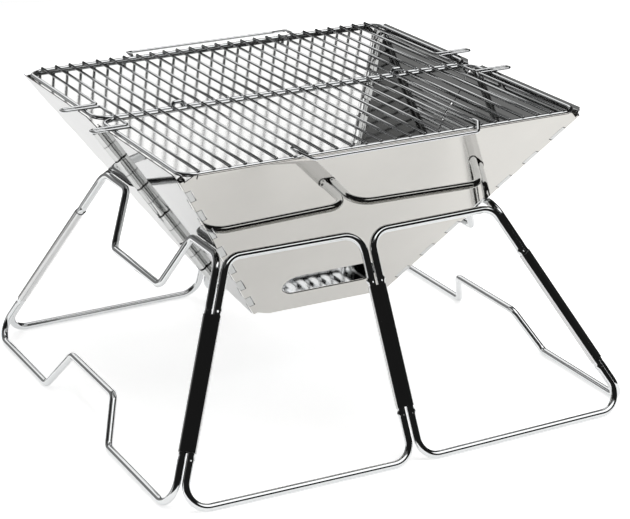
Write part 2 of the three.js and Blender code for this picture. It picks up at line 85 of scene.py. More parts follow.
# Corner cuts of the panels: two places, each (distance from the middle, height from the edge).
LONG_TOP_CUT, LONG_LOW_CUT = ((184.0, 0.0), (193.0, -8.0)), ((54.0, 0.0), (66.0, 4.0))
HALF_MIDDLE_CUT, HALF_CORNER_CUT = ((14.0, 0.0), (0.0, -10.0)), ((184.0, 0.0), (190.0, -6.0))
LONG_EDGE, HALF_EDGE = (-50.0, 50.0), (60.0, 150.0)     # two places on a straight edge
BLANK = 600                                      # half size of a panel before it is cut
ORIGIN_Z, HALF_ORIGIN_Y = 200.0, 70.0

# --------------------------------------------------------------- stand sizes
WIRE, WIRE_SIDES = 3.6, 28
WIRE_LOW_Z = WIRE * math.cos(math.pi / 8)
FOOT_HALF_X, FOOT_HALF_Y = 232.0, 235.0
RING_HALF_X, RING_HALF_Y, RING_Z = 140.0, 141.8, 188.0
BOW = 0.02
BEND, NOTCH_BEND = 18.0, 9.0
BEND_LEAD = 0.8                                  # a path's points this far outside a bend keep it crisp
END_LENGTH, END_SCALE = 0.35, 0.7                # rounding of a wire's cut end, in radii
LOW_NOTCH = {"mouth": 82.0, "floor": 54.0, "z": 40.0}
HIGH_NOTCH = {"mouth": 78.0, "floor": 56.0, "z": 139.0}
CORNER_PITCH, MIDDLE_PITCH = 8.2, 9.0
OPEN_WIRE_GAP = 3.0
SLEEVE_BORE, SLEEVE_WALL = 3.85, 0.5
SLEEVE_LOW_Z, SLEEVE_HIGH_Z = 46.0, 145.0
SLEEVE_SEAM, SLEEVE_STEPS, SLEEVE_ACROSS_Z = 0.5, 16, 100.0
INWARD_DROP = -0.5                               # the seam side faces the firebox and a little down
EAR_BUMP, EAR_BUMP_HALF, EAR_BUMP_GAP = 1.5, 3.2, 5.0
EAR_PINCH, EAR_SHARPNESS = 0.35, 6

# --------------------------------------------------------------- grate sizes
FRAME_WIRE, FRAME_SIDES = 2.0, 18
ROD_WIRE, ROD_SIDES, ROD_BITE, ROD_OUT = 1.3, 14, 0.2, 1.6
FRAME_Z = 284.5
ROD_Z = FRAME_Z + (FRAME_WIRE + ROD_WIRE) * math.cos(math.pi / 6) - ROD_BITE
GRATE_HALF_X, GRATE_OUT_Y, GRATE_IN_Y, GRATE_BEND = 193.0, 190.0, 4.0, 14.0
ROD_COUNT = 26
ROD_PITCH = 2 * GRATE_HALF_X / (ROD_COUNT + 1)
HUMP_X = GRATE_HALF_X - 5.5 * ROD_PITCH
HUMP = ((6.5, 0, 1.5), (3.2, 5.0, 1.8), (-3.2, 5.0, 1.8), (-6.5, 0, 1.5))       # along, up, bend
EAR_Y, EAR_HALF, EAR_REACH, EAR_ROOT, EAR_TIP = 38.0, 4.0, 215.0, 2.5, 3.8
WELD, WELD_BITE = (1.9, 1.7, 0.9), 0.1
HANDLE_HALF_X, HANDLE_Y, HANDLE_WIRE, HANDLE_SIDES = 88.0, 207.0, 1.6, 16
HANDLE_TAIL, HANDLE_OUT, HANDLE_NARROW, HANDLE_DROP, HANDLE_GAP = 10, 3, 8, 4, 0.3
HANDLE_BENDS = (4, 5)

# --------------------------------------------------------------- plate sizes
CHARCOAL_Z, ASH_Z, PLATE = 142.0, 100.0, 1.0
PLATE_GAP, PLATE_CUT = 0.6, 12.0
CHARCOAL_SLOT = {"half": 13, "radius": 4.5, "sides": 8}
CHARCOAL_ROWS, CHARCOAL_COLUMNS = (-66, -21, 21, 66), range(-84, 85, 14)
ASH_INSET, ASH_BEND, ASH_STEPS, ASH_RISE = 2, 1.5, 6, 2.6

SLOPE_X = (TOP_HALF_X - LOW_HALF_X) / (TOP_Z - LOW_Z)
SLOPE_Y = (TOP_HALF_Y - LOW_HALF_Y) / (TOP_Z - LOW_Z)
UP = Vector((0, 0, 1))


def V(x, y, z):
    return Vector((x, y, z))


# ------------------------------------------------------------------ mesh code
SAME = 1e-3                                      # places closer than this are the same
ON_WIRE = 1.0                                    # a stop this close to a straight run lies on it
RUN_SPARE = 0.3                                  # added points keep this far from the ends of a run


class Shell:
    """Closed surfaces gathered into one mesh; each face is smooth or flat."""

    def __init__(self):
        self.points, self.faces, self.smooth, self.cut = [], [], [], []

    def add(self, points, faces, smooth, cut=0):
        base = len(self.points)
        self.points += points
        self.faces += [[base + i for i in f] for f in faces]
        self.smooth += [smooth] * len(faces) if isinstance(smooth, bool) else smooth
        self.cut += [False] * (len(faces) - cut) + [True] * cut

    def piece(self, name, node, slot, material, body=None):
        mesh = bpy.data.meshes.new(name)
        mesh.from_pydata([tuple(p * MM) for p in self.points], [], self.faces)
        mesh.polygons.foreach_set("use_smooth", self.smooth)
        mesh.validate()
        mesh.update()
        flat = {key for face in mesh.polygons if not face.use_smooth for key in face.edge_keys}
        mesh.edges.foreach_set("use_edge_sharp", [edge.key in flat for edge in mesh.edges])
        mesh.materials.append(material)
        # Cut faces take the near-black edge material: painted shade in the slits.
        if any(self.cut):
            mesh.materials.append(EDGE_PAINTED_SHADE)
            mesh.polygons.foreach_set("material_index", [int(c) for c in self.cut])
        made = bpy.data.objects.new(name, mesh)
        bpy.context.scene.collection.objects.link(made)
        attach(made, body or frame["nodes"][node]["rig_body"])
        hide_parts(node)
        return made


class Sheet:
    """A bent sheet given by its middle surface: points with normals, and faces."""

    def __init__(self):
        self.points, self.normals, self.faces, self.smooth = [], [], [], []

    def point(self, p, n):
        self.points.append(p.copy())
        self.normals.append(n.normalized())
        return len(self.points) - 1

    def face(self, ring, smooth):
        p = [self.points[i] for i in ring]
        normal = Vector((0, 0, 0))
        for a, b in zip(p, p[1:] + p[:1]):
            normal += a.cross(b)
        wanted = sum((self.normals[i] for i in ring), Vector((0, 0, 0)))
        self.faces.append(list(ring) if normal.dot(wanted) > 0 else list(ring)[::-1])
        self.smooth.append(smooth)

    def strip(self, start, rows):
        """Carries an edge (two point numbers) on through rows of (point, point, normal)."""
        a, b = start
        for p, q, n in rows:
            c, d = self.point(p, n), self.point(q, n)
            self.face((a, b, d, c), True)
            a, b = c, d

    def into(self, shell, thickness):
        n = len(self.points)
        half = thickness / 2
        points = [p + m * half for p, m in zip(self.points, self.normals)]
        points += [p - m * half for p, m in zip(self.points, self.normals)]
        faces = self.faces + [[i + n for i in f[::-1]] for f in self.faces]
        smooth = self.smooth * 2
        edges = set()
        for f in self.faces:
            edges.update(zip(f, f[1:] + f[:1]))
        for a, b in sorted(edges):
            if (b, a) not in edges:
                faces.append([a, a + n, b + n, b])
                smooth.append(False)
        shell.add(points, faces, smooth, len(faces) - 2 * len(self.faces))


def bent_path(corners, closed, step=7.5):
    """Corner points with bend radii become a path with an arc at each bend."""
    path = []
    n = len(corners)
    for i, (p, r) in enumerate(corners):
        if not r or (not closed and i in (0, n - 1)):
            path.append(p.copy())
            continue
        back = (corners[i - 1][0] - p).normalized()
        on = (corners[(i + 1) % n][0] - p).normalized()
        half = back.angle(on) / 2
        centre = p + (back + on).normalized() * (r / math.sin(half))
        reach = r / math.tan(half)
        a, b = p + back * reach - centre, p + on * reach - centre
        turn = a.angle(b)
        steps = max(3, round(math.degrees(turn) / step))
        path.append(p + back * (reach + BEND_LEAD))
        for k in range(steps + 1):
            s = k / steps
            arm = a * math.sin((1 - s) * turn) + b * math.sin(s * turn)
            path.append(centre + arm / math.sin(turn))
        path.append(p + on * (reach + BEND_LEAD))
    return path


def refine(path, closed, centres, half, step=0.6):
    """Adds points to the path's straight runs for a short way round each centre."""
    made = []
    n = len(path)
    for i, p in enumerate(path):
        made.append(p)
        if not closed and i == n - 1:
            break
        q = path[(i + 1) % n]
        length = (q - p).length
        if length < 2 * half:
            continue
        along = (q - p) / length
        stops = set()
        for c in centres:
            t = (c - p).dot(along)
            if 0 < t < length and (p + along * t - c).length < ON_WIRE:
                count = round(2 * half / step)
                stops.update(t - half + j * step for j in range(count + 1))
        made += [p + along * t for t in sorted(stops) if RUN_SPARE < t < length - RUN_SPARE]
    return made


def tube(shell, path, radius, sides, normal, closed, swell=None):
    """A round wire along a path. Open ends are cut square with a small rounding."""
    n = len(path)
    rings = []
    for i, p in enumerate(path):
        before = p - path[i - 1] if closed or i else path[1] - p
        after = path[(i + 1) % n] - p if closed or i < n - 1 else p - path[i - 1]
        t = (before.normalized() + after.normalized()).normalized()
        side = (normal - t * normal.dot(t)).normalized()
        up = t.cross(side)
        rings.append((p, side, up, t, 1.0))
    if not closed:
        p, side, up, t, _ = rings[0]
        rings[0] = (p + t * END_LENGTH * radius, side, up, t, 1.0)
        rings.insert(0, (p, side, up, t, END_SCALE))
        p, side, up, t, _ = rings[-1]
        rings[-1] = (p - t * END_LENGTH * radius, side, up, t, 1.0)
        rings.append((p, side, up, t, END_SCALE))
    points = []
    for p, side, up, t, scale in rings:
        for k in range(sides):
            a = 2 * math.pi * (k + 0.5) / sides
            d = side * math.cos(a) + up * math.sin(a)
            points.append(p + d * (radius * scale + (swell(p, d) if swell else 0)))
    count = len(rings)
    faces = []
    for i in range(count if closed else count - 1):
        for k in range(sides):
            j, m = (i + 1) % count, (k + 1) % sides
            faces.append([i * sides + k, i * sides + m, j * sides + m, j * sides + k])
    smooth = [True] * len(faces)
    if not closed:
        faces.append(list(range(sides))[::-1])
        faces.append([(count - 1) * sides + k for k in range(sides)])
        smooth += [False, False]
    shell.add(points, faces, smooth)


def clip(outline, p, q, keep):
    """Cuts a flat outline by the line through p and q and keeps the side of 'keep'."""
    def side(c):
        return (q[0] - p[0]) * (c[1] - p[1]) - (q[1] - p[1]) * (c[0] - p[0])

    sign = 1 if side(keep) > 0 else -1
    made = []
    for c, d in zip(outline, outline[1:] + outline[:1]):
        sc, sd = sign * side(c), sign * side(d)
        if sc >= 0:
            made.append(c)
        if sc * sd < 0:
            t = sc / (sc - sd)
            made.append((c[0] + t * (d[0] - c[0]), c[1] + t * (d[1] - c[1])))
    return made


def stadium(half_length, radius, per_end, cx=0.0, cy=0.0):
    points = []
    for side in (1, -1):
        for i in range(per_end + 1):
            a = math.pi * (i / per_end - 0.5) + (0 if side > 0 else math.pi)
            points.append((cx + side * half_length + radius * math.cos(a), cy + radius * math.sin(a)))
    return points


def fill(sheet, place, normal, outline, holes=()):
    """Fills a flat outline with holes, and returns the point numbers of each loop."""
    loops = [outline, *holes]
    numbers = [[sheet.point(place(x, y), normal) for x, y in loop] for loop in loops]
    flat = [i for loop in numbers for i in loop]
    for tri in tessellate_polygon([[V(x, y, 0) for x, y in loop] for loop in loops]):
        sheet.face([flat[i] for i in tri], False)
    return numbers


# ------------------------------------------------------------------ materials
def node(tree, kind, **values):
    made = tree.nodes.new(kind)
    for key, value in values.items():
        if key in made.inputs:
            made.inputs[key].default_value = value
        else:
            setattr(made, key, value)
    return made


CLOUD_RANGE, GRAIN_RANGE = (0.3, 0.7), (0.12, 0.42)
GRAIN_DEPTH, SMEAR_DEPTH = 0.2 * MM, 1.0 * MM
SMEAR_SCALE = 9.0


def metal(name, tone, roughness, spread, mottle, grain, grain_strength, smear=0.0, edge=1.0):
    """Metal with a cloudy tone and roughness and a drawn grain.

    'roughness' is its lowest and highest, 'spread' how much darker the clouds are, 'mottle' their scale,
    'grain' the scale of the lines on each axis, 'smear' a slow waviness and 'edge' the tint at grazing angles.
    """
    material = bpy.data.materials.new(name)
    material.use_nodes = True
    tree = material.node_tree
    tree.nodes.clear()
    out = node(tree, "ShaderNodeOutputMaterial")
    shader = node(tree, "ShaderNodeBsdfPrincipled")
    shader.inputs["Metallic"].default_value = 1.0
    shader.inputs["Specular Tint"].default_value = (edge, edge, edge, 1)
    link = tree.links.new
    link(shader.outputs["BSDF"], out.inputs["Surface"])
    where = node(tree, "ShaderNodeTexCoord")
    cloud = node(tree, "ShaderNodeTexNoise", Scale=mottle, Detail=4.0, Roughness=0.6)
    link(where.outputs["Object"], cloud.inputs["Vector"])
    tones = node(tree, "ShaderNodeValToRGB")
    dark = [c * (1 - spread) for c in tone]
    tones.color_ramp.elements[0].position = CLOUD_RANGE[0]
    tones.color_ramp.elements[0].color = (*dark, 1)
    tones.color_ramp.elements[1].position = CLOUD_RANGE[1]
    tones.color_ramp.elements[1].color = (*tone, 1)
    link(cloud.outputs["Fac"], tones.inputs["Fac"])
    link(tones.outputs["Color"], shader.inputs["Base Color"])
    stretch = node(tree, "ShaderNodeMapping")
    stretch.inputs["Scale"].default_value = grain
    link(where.outputs["Object"], stretch.inputs["Vector"])
    lines = node(tree, "ShaderNodeTexNoise", Scale=1.0, Detail=3.0, Roughness=0.7)
    link(stretch.outputs["Vector"], lines.inputs["Vector"])
    blend = node(tree, "ShaderNodeMath", operation="MULTIPLY")
    link(cloud.outputs["Fac"], blend.inputs[0])
    link(lines.outputs["Fac"], blend.inputs[1])
    rough = node(tree, "ShaderNodeMapRange")
    rough.inputs["From Min"].default_value = GRAIN_RANGE[0]
    rough.inputs["From Max"].default_value = GRAIN_RANGE[1]
    rough.inputs["To Min"].default_value = roughness[0]
    rough.inputs["To Max"].default_value = roughness[1]
    link(blend.outputs["Value"], rough.inputs["Value"])
    link(rough.outputs["Result"], shader.inputs["Roughness"])
    fine = node(tree, "ShaderNodeBump")
    fine.inputs["Strength"].default_value = grain_strength
    fine.inputs["Distance"].default_value = GRAIN_DEPTH
    link(lines.outputs["Fac"], fine.inputs["Height"])
    if smear:
        wave = node(tree, "ShaderNodeTexNoise", Scale=SMEAR_SCALE, Detail=1.0, Roughness=0.4)
        link(where.outputs["Object"], wave.inputs["Vector"])
        broad = node(tree, "ShaderNodeBump")
        broad.inputs["Strength"].default_value = smear
        broad.inputs["Distance"].default_value = SMEAR_DEPTH
        link(wave.outputs["Fac"], broad.inputs["Height"])
        link(broad.outputs["Normal"], fine.inputs["Normal"])
    link(fine.outputs["Normal"], shader.inputs["Normal"])
    return material


SHEET_GRAIN = {"spread": 0.04, "mottle": 14.0, "grain": (900, 900, 40), "grain_strength": 0.012, "smear": 0.05}
# Three toned copies of one polished sheet steel. The front copy is darker and warm as a painted reflection of
# the warm floor below it. The back copy is lighter as a painted bright reflection, and the end copy sits
# between them.
MIRROR_FRONT_PAINTED_REFLECTION = metal("mirror_sheet", (0.56, 0.548, 0.522), (0.012, 0.045), **SHEET_GRAIN)
MIRROR_BACK_PAINTED_REFLECTION = metal("mirror_sheet_back", (0.62, 0.62, 0.615), (0.085, 0.12), **SHEET_GRAIN)
MIRROR_END_PAINTED_REFLECTION = metal("mirror_sheet_end", (0.58, 0.585, 0.58), (0.02, 0.06), **SHEET_GRAIN, edge=0.74)
SLEEVE = metal("sleeve_sheet", (0.6, 0.6, 0.6), (0.03, 0.07), 0.06, 40.0, (1500, 1500, 60), 0.02)
CHROME = metal("stand_chrome", (0.66, 0.67, 0.675), (0.03, 0.09), 0.05, 45.0, (500, 500, 500), 0.03)
RODS = metal("grate_chrome", (0.64, 0.65, 0.655), (0.05, 0.13), 0.07, 60.0, (600, 600, 600), 0.04)
# The pin's near-black tone makes it show as a dark ring in the gaps between knuckles: painted shade.
PIN_PAINTED_DARK_RING = metal("pin_steel", (0.2, 0.2, 0.195), (0.18, 0.32), 0.12, 90.0, (900, 900, 120), 0.1)
# Cut edges of every sheet get a near-black tone so that the slits between tabs, notches and panels read as dark
# lines: painted shade.
EDGE_PAINTED_SHADE = metal("cut_edge", (0.13, 0.13, 0.127), (0.3, 0.45), 0.2, 120.0, (900, 900, 900), 0.1)
PLATE_STEEL = metal("plate_steel", (0.78, 0.79, 0.8), (0.03, 0.07), 0.08, 22.0, (60, 1400, 1400), 0.02, 0.15)


# ------------------------------------------------------------------ firebox
def wall_x(z):
    return TOP_HALF_X - SLOPE_X * (TOP_Z - z)


def wall_y(z):
    return TOP_HALF_Y - SLOPE_Y * (TOP_Z - z)


def end_normal(sx):
    return V(sx, 0, -SLOPE_X).normalized()


def long_normal(sy):
    return V(0, sy, -SLOPE_Y).normalized()


def corner_axis(sx, sy):
    def at(z):
        x = wall_x(z) - CORNER_HINGE["offset"] * math.hypot(1, SLOPE_X)
        y = wall_y(z) - CORNER_HINGE["offset"] * math.hypot(1, SLOPE_Y)
        return V(sx * x, sy * y, z)
    return [at(z) for z in CORNER_HINGE["z"]]


def middle_axis(sx):
    def at(z):
        return V(sx * (wall_x(z) - MIDDLE_HINGE["offset"] * math.hypot(1, SLOPE_X)), 0, z)
    return [at(z) for z in MIDDLE_HINGE["z"]]


class Panel:
    """One firebox panel: a flat sheet whose hinge edges run on into rolled knuckles."""

    def __init__(self, inside, u, out):
        self.origin, self.u, self.n = inside, u, out
        self.v = out.cross(u)
        self.outline = [(-BLANK, -BLANK), (BLANK, -BLANK), (BLANK, BLANK), (-BLANK, BLANK)]
        self.hinges = []
        self.sheet = Sheet()
        self.shell = Shell()

    def flat(self, p):
        d = p - self.origin
        return (d.dot(self.u), d.dot(self.v))

    def place(self, x, y, lift=0.0):
        return self.origin + self.u * x + self.v * y + self.n * lift

    def cut(self, p, q):
        self.outline = clip(self.outline, self.flat(p), self.flat(q), (0, 0))

    def hinge(self, axis, kind, parity):
        along = (axis[1] - axis[0]).normalized()
        into = self.origin - axis[0]
        into = (into - along * into.dot(along) - self.n * into.dot(self.n)).normalized()
        foot = axis[0] + self.n * kind["offset"]
        depth = TAB_ROOT if parity == 0 else kind["notch"]
        self.cut(foot + into * depth, foot + into * depth + along * 10)
        length = (axis[1] - axis[0]).length
        hinge = {"axis": axis, "kind": kind, "parity": parity, "along": along, "into": into,
                 "foot": foot, "depth": depth, "pitch": length / kind["count"]}
        self.hinges.append(hinge)
        return hinge

    def tabbed(self, hinge):
        """The hinge's edge line is replaced by its tabs and notches."""
        far = 100
        foot = Vector(self.flat(hinge["foot"]))
        tip = Vector(self.flat(hinge["foot"] + hinge["along"] * far))
        side = Vector(self.flat(hinge["foot"] + hinge["into"] * far))
        along, into = (tip - foot) / far, (side - foot) / far
        pitch, gaps = hinge["pitch"], hinge["kind"]["gaps"]
        steps = []
        hinge["tabs"] = []
        for k in range(hinge["kind"]["count"]):
            if k % 2 != hinge["parity"]:
                continue
            a, b = k * pitch + gaps[k % 2] / 2, (k + 1) * pitch - gaps[(k + 1) % 2] / 2
            notch = hinge["kind"]["notch"]
            first = hinge["depth"] if k == 0 else notch
            last = hinge["depth"] if k == hinge["kind"]["count"] - 1 else notch
            steps += [(first, a), (0, a), (0, b), (last, b)]
            hinge["tabs"].append((a, b))
        points = [tuple(foot + into * d + along * t) for d, t in steps]
        n = len(self.outline)
        for i in range(n):
            p, q = Vector(self.outline[i]), Vector(self.outline[(i + 1) % n])
            if all(abs((c - foot).dot(into) - hinge["depth"]) < SAME for c in (p, q)):
                if (q - p).dot(along) < 0:
                    points.reverse()
                self.outline[i + 1:i + 1] = points
                return
        raise ValueError("no edge for the hinge")

    def number(self, x, y):
        """The sheet's point at a place on the outline."""
        nearest = min(zip(self.outline, self.edge), key=lambda c: math.hypot(c[0][0] - x, c[0][1] - y))
        return nearest[1]

    def roll(self, hinge):
        """Each tab goes on round the hinge axis as a folded or rolled knuckle."""
        kind, into, along = hinge["kind"], hinge["into"], hinge["along"]
        sign = math.copysign(1, kind["offset"])
        out = self.n * sign
        bends = []
        for (a, near), (b, far) in zip(kind["walls"], kind["walls"][1:]):
            wide = math.radians(b - a)
            meet = math.atan2(far - near * math.cos(wide), near * math.sin(wide))
            bends.append(a + math.degrees(meet))
        if bends:
            turns = {kind["end"], *range(WALL_FROM, kind["end"] - WALL_SPARE, WALL_STEP)}
            turns.update(bend + step for bend in bends for step in BEND_STEPS)
        else:
            turns = {kind["end"] * k / ROLL_STEPS for k in range(1, ROLL_STEPS + 1)}

        def reach(turn):
            """The knuckle's distance from its axis."""
            walls = [max(math.cos(turn - math.radians(a)), 0) / d for a, d in kind["walls"]]
            total = sum(c ** WALL_BLEND for c in walls)
            return total ** (-1 / WALL_BLEND) if total else abs(kind["offset"])

        for a, b in hinge["tabs"]:
            start = [self.number(*self.flat(hinge["foot"] + along * t)) for t in (a, b)]
            rows = []
            for turn in map(math.radians, sorted(turns)):
                radial = out * math.cos(turn) - into * math.sin(turn)
                round_it = -out * math.sin(turn) - into * math.cos(turn)
                slope = (reach(turn + SMALL_TURN) - reach(turn - SMALL_TURN)) / (2 * SMALL_TURN)
                ends = [hinge["axis"][0] + along * t + radial * reach(turn) for t in (a, b)]
                rows.append((*ends, (radial - round_it * slope / reach(turn)) * sign))
            self.sheet.strip(start, rows)

    def hem(self, top):
        """The top edge is folded outwards and down."""
        edge = [i for (x, y), i in zip(self.outline, self.edge)
                if abs(y - top) < SAME and abs(abs(x) - HEM_HALF_X) < SAME]
        a, b = edge
        rows = []
        for k in range(1, HEM_STEPS + 1):
            turn = math.pi * k / HEM_STEPS
            rise = HEM_RADIUS * math.sin(turn)
            lift = HEM_RADIUS * (1 - math.cos(turn))
            normal = self.n * math.cos(turn) - self.v * math.sin(turn)
            rows.append((rise, lift, normal))
        rows.append((-HEM_DROP, 2 * HEM_RADIUS, -self.n))
        made = []
        for rise, lift, normal in rows:
            shift = self.v * rise + self.n * lift
            made.append((self.sheet.points[a] + shift, self.sheet.points[b] + shift, normal))
        self.sheet.strip((a, b), made)

    def lip(self, ring):
        """The rim of the air slot is drawn inwards a little."""
        n = len(ring)
        centre = sum((self.sheet.points[i] for i in ring), V(0, 0, 0)) / n
        rows = [list(ring)]
        for k in range(1, LIP_STEPS + 1):
            turn = math.radians(LIP_TURN) * k / LIP_STEPS
            row = []
            for i, number in enumerate(ring):
                p = self.sheet.points[number]
                before, after = self.sheet.points[ring[i - 1]], self.sheet.points[ring[(i + 1) % n]]
                inward = (after - before).cross(self.n).normalized()
                if inward.dot(centre - p) < 0:
                    inward.negate()
                q = p + inward * SLOT_LIP * math.sin(turn) - self.n * SLOT_LIP * (1 - math.cos(turn))
                row.append(self.sheet.point(q, self.n * math.cos(turn) + inward * math.sin(turn)))
            rows.append(row)
        for upper, lower in zip(rows, rows[1:]):
            for i in range(n):
                j = (i + 1) % n
                self.sheet.face((upper[i], upper[j], lower[j], lower[i]), True)

    def fill(self, holes=()):
        loops = fill(self.sheet, self.place, self.n, self.outline, holes)
        self.edge = loops[0]
        return loops[1:]


def long_panel(name, sy, material):
    out = long_normal(sy)
    panel = Panel(V(0, sy * wall_y(ORIGIN_Z), ORIGIN_Z), V(-sy, 0, 0), out)

    def at(x, z):
        return V(x, sy * wall_y(z), z)

    hinges = [panel.hinge(corner_axis(sx, sy), CORNER_HINGE, 0) for sx in (-1, 1)]
    top_z = RIM_Z - HEM_RADIUS
    for z in (top_z, LOW_Z):
        panel.cut(*(at(x, z) for x in LONG_EDGE))
    for sx in (-1, 1):
        for edge_z, line in ((RIM_Z, LONG_TOP_CUT), (LOW_Z, LONG_LOW_CUT)):
            panel.cut(*(at(sx * x, edge_z + z) for x, z in line))
    for hinge in hinges:
        panel.tabbed(hinge)
    top = panel.flat(at(0, top_z))[1]
    for i, (c, d) in enumerate(zip(panel.outline, panel.outline[1:] + panel.outline[:1])):
        if abs(c[1] - top) < SAME and abs(d[1] - top) < SAME:
            way = math.copysign(1, d[0] - c[0])
            panel.outline[i + 1:i + 1] = [(-way * HEM_HALF_X, top), (way * HEM_HALF_X, top)]
            break
    centre = panel.flat(at(0, SLOT_Z))
    slot = stadium((SLOT_LENGTH - SLOT_HEIGHT) / 2, SLOT_HEIGHT / 2, SLOT_SIDES, *centre)
    rings = panel.fill([slot])
    for hinge in hinges:
        panel.roll(hinge)
    panel.hem(top)
    panel.lip(rings[0])
    panel.sheet.into(panel.shell, SHEET)
    panel.shell.piece(name + "_sheet", name, "mirror_sheet", material)


def half_panel(name, sx, sy):
    out = end_normal(sx)
    panel = Panel(V(sx * wall_x(ORIGIN_Z), sy * HALF_ORIGIN_Y, ORIGIN_Z), V(0, sx, 0), out)

    def at(y, z):
        return V(sx * wall_x(z), y, z)

    corner = panel.hinge(corner_axis(sx, sy), CORNER_HINGE, 1)
    middle = panel.hinge(middle_axis(sx), MIDDLE_HINGE, 0 if sy < 0 else 1)
    panel.cut(*(at(sy * y, RIM_Z) for y in HALF_EDGE))
    panel.cut(at(sy * LOW_HALF_Y, LOW_Z), at(0, MIDDLE_LOW_Z))
    for line in (HALF_MIDDLE_CUT, HALF_CORNER_CUT):
        panel.cut(*(at(sy * y, RIM_Z + z) for y, z in line))
    panel.tabbed(corner)
    panel.tabbed(middle)
    panel.fill()
    panel.roll(corner)
    panel.roll(middle)
    panel.sheet.into(panel.shell, SHEET)
    # The end panels take the middle-toned copy of the sheet steel: painted reflection.
    panel.shell.piece(name + "_sheet", name, "mirror_sheet", MIRROR_END_PAINTED_REFLECTION)


def hinge_pin(name, axis, radius):
    shell = Shell()
    along = (axis[1] - axis[0]).normalized()
    path = [axis[0] - along * PIN_OUT, axis[0].lerp(axis[1], 0.5), axis[1] + along * PIN_OUT]
    tube(shell, path, radius, PIN_SIDES, V(1, 0, 0), False)
    # Dark pin: painted shade in the knuckle gaps.
    shell.piece(name + "_rod", name, "hinge_pin", PIN_PAINTED_DARK_RING)


# -------------------------------------------------------------------- stand
def corner_line(sx, sy):
    return [V(sx * FOOT_HALF_X, sy * FOOT_HALF_Y, WIRE_LOW_Z), V(sx * RING_HALF_X, sy * RING_HALF_Y, RING_Z)]


def middle_line(sy):
    return [V(0, sy * (FOOT_HALF_Y + BOW * FOOT_HALF_X), WIRE_LOW_Z),
            V(0, sy * (RING_HALF_Y + BOW * RING_HALF_X), RING_Z)]


def in_plane(line, other):
    along = (line[1] - line[0]).normalized()
    d = other[0] - line[0]
    return (d - along * d.dot(along)).normalized()


def side_wire(line, own, other, pitch, clearance=0.0):
    a, b = in_plane(line, own), in_plane(line, other)
    move = a * (pitch / (2 * math.sin(a.angle(b) / 2)) + clearance)
    return [p + move for p in line]


def is_open(sx, sy):
    return sx > 0 and sy > 0


def end_line(sx, sy):
    return side_wire(corner_line(sx, sy), corner_line(sx, -sy), middle_line(sy), CORNER_PITCH)


def long_line(sx, sy):
    gap = OPEN_WIRE_GAP if is_open(sx, sy) else 0.0
    return side_wire(corner_line(sx, sy), middle_line(sy), corner_line(sx, -sy), CORNER_PITCH, gap)


def centre_line(sx, sy):
    return side_wire(middle_line(sy), corner_line(sx, sy), corner_line(-sx, sy), MIDDLE_PITCH)


def at_height(line, z):
    return line[0].lerp(line[1], (z - line[0].z) / (line[1].z - line[0].z))


def loop(name, corners, holders):
    """A closed wire loop; 'holders' are its wires in sleeves, each with its inward direction."""
    path = bent_path(corners, True)
    stops = []
    for line, inward in holders:
        along = (line[1] - line[0]).normalized()
        low, high = at_height(line, SLEEVE_LOW_Z), at_height(line, SLEEVE_HIGH_Z)
        stops.append((low - along * EAR_BUMP_GAP, inward))
        stops.append((high + along * EAR_BUMP_GAP, inward))

    def swell(p, d):
        extra = 0.0
        for centre, inward in stops:
            far = (p - centre).length / EAR_BUMP_HALF
            if far < 1:
                lean = d.dot(inward)
                lobe = max(0.0, lean) ** EAR_SHARPNESS
                extra += (1 - far * far) ** 2 * (EAR_BUMP * lobe - EAR_PINCH * (1 - abs(lean)))
        return extra

    path = refine(path, True, [c for c, _ in stops], EAR_BUMP_HALF)
    spread = corners[-1][0] - corners[-2][0]
    normal = spread.cross(corners[1][0] - corners[-1][0]).normalized()
    shell = Shell()
    tube(shell, path, WIRE, WIRE_SIDES, normal, True, swell)
    shell.piece(name + "_wire", name, "stand_wire", CHROME)


def end_loop(name, sx):
    near, far = end_line(sx, -1), end_line(sx, 1)

    def on(y, z):
        return V(at_height(near, z).x, y, z)

    low = WIRE_LOW_Z
    corners = [
        (on(-LOW_NOTCH["mouth"], low), NOTCH_BEND),
        (on(-LOW_NOTCH["floor"], LOW_NOTCH["z"]), NOTCH_BEND),
        (on(LOW_NOTCH["floor"], LOW_NOTCH["z"]), NOTCH_BEND),
        (on(LOW_NOTCH["mouth"], low), NOTCH_BEND),
        (at_height(far, low), BEND),
        (at_height(far, RING_Z), BEND),
        (on(HIGH_NOTCH["mouth"], RING_Z), NOTCH_BEND),
        (on(HIGH_NOTCH["floor"], HIGH_NOTCH["z"]), NOTCH_BEND),
        (on(-HIGH_NOTCH["floor"], HIGH_NOTCH["z"]), NOTCH_BEND),
        (on(-HIGH_NOTCH["mouth"], RING_Z), NOTCH_BEND),
        (at_height(near, RING_Z), BEND),
        (at_height(near, low), BEND),
    ]
    loop(name, corners, [(near, V(0, 1, 0)), (far, V(0, -1, 0))])


def long_loop(name, sx, sy):
    side, middle = long_line(sx, sy), centre_line(sx, sy)
    corners = [
        (at_height(middle, WIRE_LOW_Z), BEND),
        (at_height(middle, RING_Z), BEND),
        (at_height(side, RING_Z), BEND),
        (at_height(side, WIRE_LOW_Z), BEND),
    ]
    inward = (middle[0] - side[0]).normalized()
    loop(name, corners, [(side, inward), (middle, -inward)])


